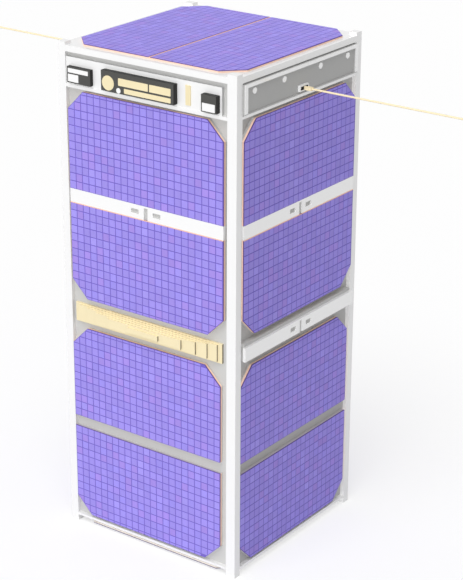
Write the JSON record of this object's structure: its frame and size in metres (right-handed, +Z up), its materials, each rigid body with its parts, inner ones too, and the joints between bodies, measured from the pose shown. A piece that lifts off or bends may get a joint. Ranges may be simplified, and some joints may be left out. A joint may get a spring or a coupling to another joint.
{
  "type": "satellite",
  "caption": "Small box-shaped satellite with white corner rails, violet solar cells, a front sensor band and a spring-deployed wire antenna on each flank",
  "frame": {"origin": "centre of the footprint, on the plane of the four rail feet", "axes": "+Z up along the rails, +X to the right along the right antenna, the sensor band faces -Y"},
  "size_m": [0.4464, 0.1036, 0.2435],
  "materials": {
    "frame_white": "satin white",
    "band_white": "bright matte white",
    "panel_grey": "satin grey",
    "housing_grey": "matte grey",
    "board_orange": "orange laminate",
    "solar_cell": "violet cells with a fine grid",
    "cover_tan": "pale tan",
    "sensor_black": "matte black",
    "antenna_brass": "pale brass",
    "stack_green": "circuit boards"
  },
  "bodies": {
    "body": {"rail_front_left": "frame_white", "rail_front_right": "frame_white", "rail_back_left": "frame_white", "rail_back_right": "frame_white", "bottom_frame": "frame_white", "top_frame": "frame_white", "front_panel": "panel_grey", "right_panel": "panel_grey", "back_panel": "panel_grey", "left_panel": "panel_grey", "sills": "frame_white", "front_upper_boards": "board_orange", "front_upper_cells": "solar_cell", "front_lower_boards": "board_orange", "front_lower_cells": "solar_cell", "right_upper_boards": "board_orange", "right_upper_cells": "solar_cell", "right_lower_boards": "board_orange", "right_lower_cells": "solar_cell", "back_upper_boards": "board_orange", "back_upper_cells": "solar_cell", "back_lower_boards": "board_orange", "back_lower_cells": "solar_cell", "left_upper_boards": "board_orange", "left_upper_cells": "solar_cell", "left_lower_boards": "board_orange", "left_lower_cells": "solar_cell", "top_board": "board_orange", "top_cells": "solar_cell", "bottom_boards": "board_orange", "bottom_cells": "solar_cell", "front_cross_band": "band_white", "right_cross_band": "band_white", "back_cross_band": "band_white", "left_cross_band": "band_white", "right_bar": "panel_grey", "left_bar": "panel_grey", "right_guide_plate": "band_white", "left_guide_plate": "band_white", "front_cover": "cover_tan", "back_cover": "cover_tan", "instrument_plate": "band_white", "left_sensor_box": "sensor_black", "wide_sensor_box": "sensor_black", "right_sensor_box": "sensor_black", "plate_strip": "cover_tan", "right_housing": "housing_grey", "left_housing": "housing_grey", "right_housing_trim": "band_white", "left_housing_trim": "band_white", "right_antenna_port": "band_white", "left_antenna_port": "band_white", "electronics_stack": "stack_green"},
    "right_antenna": {"right_antenna": "antenna_brass"},
    "left_antenna": {"left_antenna": "antenna_brass"}
  },
  "joints": [
    {"name": "right_antenna_fold", "type": "hinge", "parent": "body", "child": "right_antenna", "pos_m": [0.0532, 0, 0.22775], "axis": [0, 1, 0], "range_deg": [0, 90], "stiffness_Nm_per_rad": 0.003, "springref_deg": -60.16},
    {"name": "left_antenna_fold", "type": "hinge", "parent": "body", "child": "left_antenna", "pos_m": [-0.0532, 0, 0.22775], "axis": [0, -1, 0], "range_deg": [0, 90], "stiffness_Nm_per_rad": 0.003, "springref_deg": -60.16}
  ]
}
